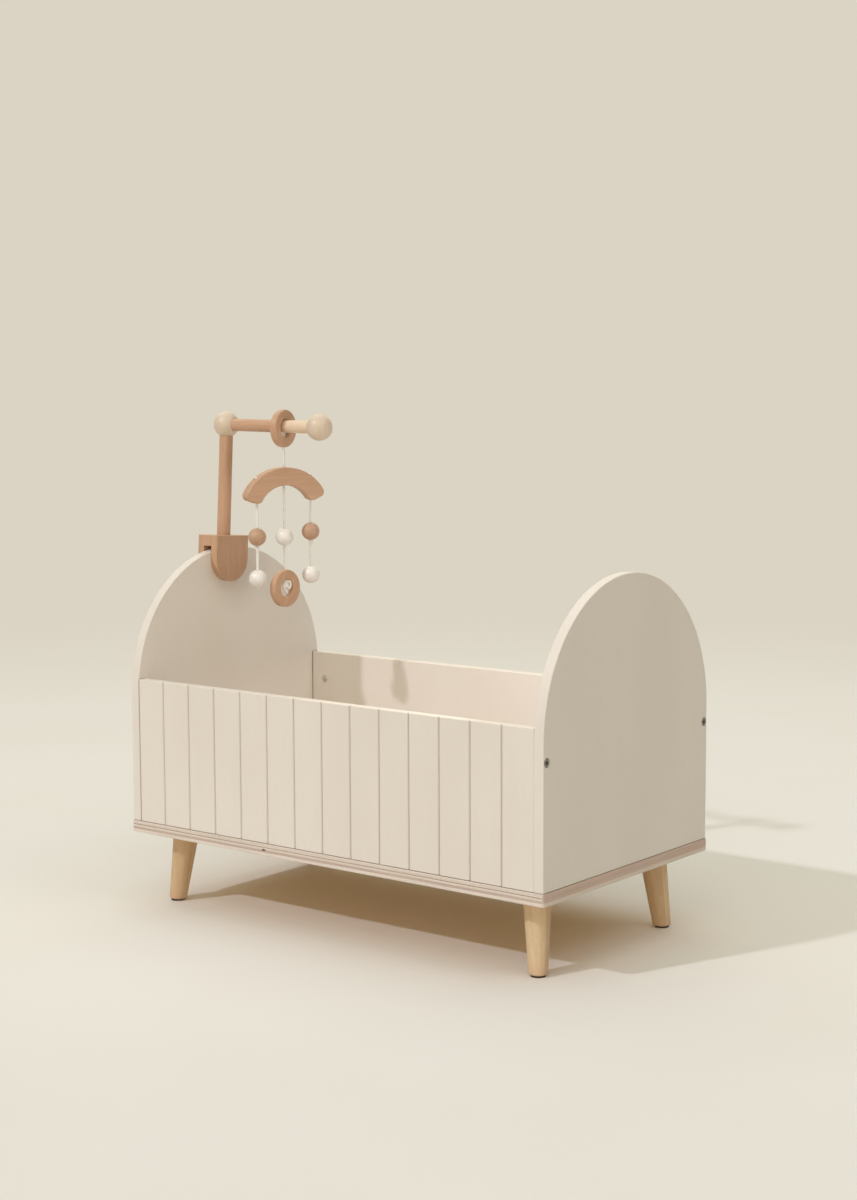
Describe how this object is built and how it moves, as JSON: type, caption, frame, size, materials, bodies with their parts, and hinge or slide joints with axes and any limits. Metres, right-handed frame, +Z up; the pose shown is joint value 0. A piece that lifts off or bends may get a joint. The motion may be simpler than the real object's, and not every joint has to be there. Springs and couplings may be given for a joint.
{
  "type": "toy cradle with bead mobile",
  "caption": "Wooden doll's cradle: arched end panels, grooved sides, splayed tapered legs and a lift-off arm carrying a hanging mobile of beads and rings.",
  "frame": {"origin": "on the floor under the middle of the crib", "axes": "+X along the crib towards the foot end, away from the end panel that carries the mobile; +Y towards the back side panel; +Z up"},
  "size_m": [0.5052, 0.272, 0.489],
  "materials": {
    "pale_panel": "pale satin lacquered panel",
    "base_plywood": "satin plywood with bare layered edges",
    "leg_wood": "turned, satin",
    "beech": "oiled beech",
    "pale_ball": "fine turned maple, satin",
    "white_lacquer": "white lacquered wood",
    "cotton_cord": "off-white braided cotton",
    "zinc_steel": "zinc plated",
    "dark_steel": "dark burnished",
    "dark_glide": "dark nylon glide"
  },
  "bodies": {
    "crib": {"base_plate": "base_plywood", "front_panel": "pale_panel", "back_panel": "pale_panel", "head_panel": "pale_panel", "foot_panel": "pale_panel", "leg_head_front": "leg_wood", "leg_head_back": "leg_wood", "leg_foot_front": "leg_wood", "leg_foot_back": "leg_wood", "leg_bolts": "zinc_steel", "leg_inserts": "zinc_steel", "leg_glides": "dark_glide", "connector_bolts": "dark_steel", "barrel_nuts": "zinc_steel", "locating_dowels": "leg_wood", "base_screws": "zinc_steel"},
    "holder": {"mobile_holder": "beech"},
    "arm": {"mobile_post": "beech", "elbow_ball": "pale_ball", "mobile_arm": "beech", "end_ball": "pale_ball"},
    "top_ring": {"arm_ring": "beech", "ring_knot": "cotton_cord"},
    "suspension": {"suspension_cord": "cotton_cord", "bar_knot": "cotton_cord"},
    "hanger": {"hanger_bar": "beech", "left_anchor_knot": "cotton_cord", "right_anchor_knot": "cotton_cord"},
    "left_string": {"left_cord": "cotton_cord", "left_brown_bead": "beech", "left_white_bead": "white_lacquer", "left_knots": "cotton_cord"},
    "centre_string": {"centre_cord": "cotton_cord", "centre_white_bead": "white_lacquer", "centre_knot": "cotton_cord", "low_ring": "beech", "low_ring_knot": "cotton_cord"},
    "right_string": {"right_cord": "cotton_cord", "right_brown_bead": "beech", "right_white_bead": "white_lacquer", "right_knots": "cotton_cord"}
  },
  "joints": [
    {"name": "holder_lift", "type": "slide", "parent": "crib", "child": "holder", "axis": [0, 0, 1], "range_m": [0, 0.06]},
    {"name": "arm_turn", "type": "hinge", "parent": "holder", "child": "arm", "pos_m": [-0.243, -0.0053, 0.35987], "axis": [0, 0.0593, 0.9982], "range_deg": [-30, 30]},
    {"name": "ring_slide", "type": "slide", "parent": "arm", "child": "top_ring", "axis": [0.9999, 0, -0.0112], "range_m": [-0.02, 0.026]},
    {"name": "suspension_swing", "type": "hinge", "parent": "top_ring", "child": "suspension", "pos_m": [-0.16501, 0.00142, 0.45115], "axis": [1, 0, 0], "range_deg": [-15, 15]},
    {"name": "hanger_spin", "type": "hinge", "parent": "suspension", "child": "hanger", "pos_m": [-0.16501, 0.00142, 0.43115], "axis": [0, 0, 1], "continuous": true},
    {"name": "left_swing", "type": "hinge", "parent": "hanger", "child": "left_string", "pos_m": [-0.17827, -0.02461, 0.39566], "axis": [0.454, 0.891, 0], "range_deg": [-20, 20]},
    {"name": "centre_swing", "type": "hinge", "parent": "hanger", "child": "centre_string", "pos_m": [-0.16501, 0.00142, 0.41315], "axis": [0.454, 0.891, 0], "range_deg": [-20, 20]},
    {"name": "right_swing", "type": "hinge", "parent": "hanger", "child": "right_string", "pos_m": [-0.15214, 0.02668, 0.39767], "axis": [0.454, 0.891, 0], "range_deg": [-20, 20]}
  ]
}
